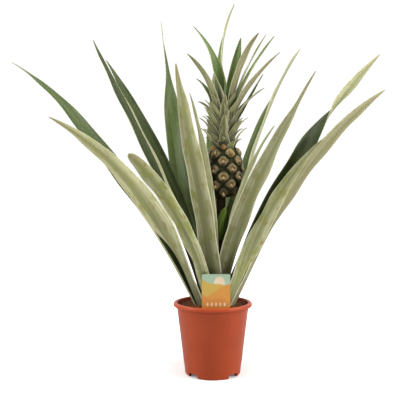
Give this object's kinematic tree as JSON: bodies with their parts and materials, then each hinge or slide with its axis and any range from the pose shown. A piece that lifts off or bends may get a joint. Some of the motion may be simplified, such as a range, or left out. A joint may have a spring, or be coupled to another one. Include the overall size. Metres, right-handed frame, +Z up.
{
  "type": "potted pineapple plant",
  "caption": "Young pineapple plant in a round terracotta-coloured nursery pot: arching channelled leaves, a small fruit on a stalk with its spiny crown, soil and a plain plant label.",
  "frame": {"origin": "middle of the pot's underside, on the surface the pot stands on", "axes": "+Z up along the pot's axis, -Y to the front where the label faces, +X to the right seen from the front"},
  "size_m": [0.6517, 0.5554, 0.5916],
  "materials": {
    "terracotta_plastic": "satin",
    "soil": "matte",
    "label_card": "satin",
    "stem": "matte",
    "fruit_skin": "satin",
    "crown_core": "matte",
    "rosette_leaf": "satin",
    "crown_leaf": "satin",
    "stalk_leaf": "satin"
  },
  "bodies": {
    "root": {"pot": "terracotta_plastic", "soil": "soil", "plant_label": "label_card", "stem": "stem", "fruit": "fruit_skin", "crown_core": "crown_core", "rosette_leaf_01": "rosette_leaf", "rosette_leaf_02": "rosette_leaf", "rosette_leaf_03": "rosette_leaf", "rosette_leaf_04": "rosette_leaf", "rosette_leaf_05": "rosette_leaf", "rosette_leaf_06": "rosette_leaf", "rosette_leaf_07": "rosette_leaf", "rosette_leaf_08": "rosette_leaf", "rosette_leaf_09": "rosette_leaf", "rosette_leaf_10": "rosette_leaf", "rosette_leaf_11": "rosette_leaf", "rosette_leaf_12": "rosette_leaf", "rosette_leaf_13": "rosette_leaf", "rosette_leaf_14": "rosette_leaf", "rosette_leaf_15": "rosette_leaf", "rosette_leaf_16": "rosette_leaf", "rosette_leaf_17": "rosette_leaf", "rosette_leaf_18": "rosette_leaf", "rosette_leaf_19": "rosette_leaf", "crown_leaf_01": "crown_leaf", "crown_leaf_02": "crown_leaf", "crown_leaf_03": "crown_leaf", "crown_leaf_04": "crown_leaf", "crown_leaf_05": "crown_leaf", "crown_leaf_06": "crown_leaf", "crown_leaf_07": "crown_leaf", "crown_leaf_08": "crown_leaf", "crown_leaf_09": "crown_leaf", "crown_leaf_10": "crown_leaf", "crown_leaf_11": "crown_leaf", "crown_leaf_12": "crown_leaf", "crown_leaf_13": "crown_leaf", "crown_leaf_14": "crown_leaf", "crown_leaf_15": "crown_leaf", "crown_leaf_16": "crown_leaf", "crown_leaf_17": "crown_leaf", "crown_leaf_18": "crown_leaf", "crown_leaf_19": "crown_leaf", "crown_leaf_20": "crown_leaf", "crown_leaf_21": "crown_leaf", "crown_leaf_22": "crown_leaf", "crown_leaf_23": "crown_leaf", "crown_leaf_24": "crown_leaf", "crown_leaf_25": "crown_leaf", "crown_leaf_26": "crown_leaf", "crown_leaf_27": "crown_leaf", "crown_leaf_28": "crown_leaf", "crown_leaf_29": "crown_leaf", "crown_leaf_30": "crown_leaf", "crown_leaf_31": "crown_leaf", "crown_leaf_32": "crown_leaf", "stalk_leaf_1": "stalk_leaf", "stalk_leaf_2": "stalk_leaf"}
  },
  "joints": []
}
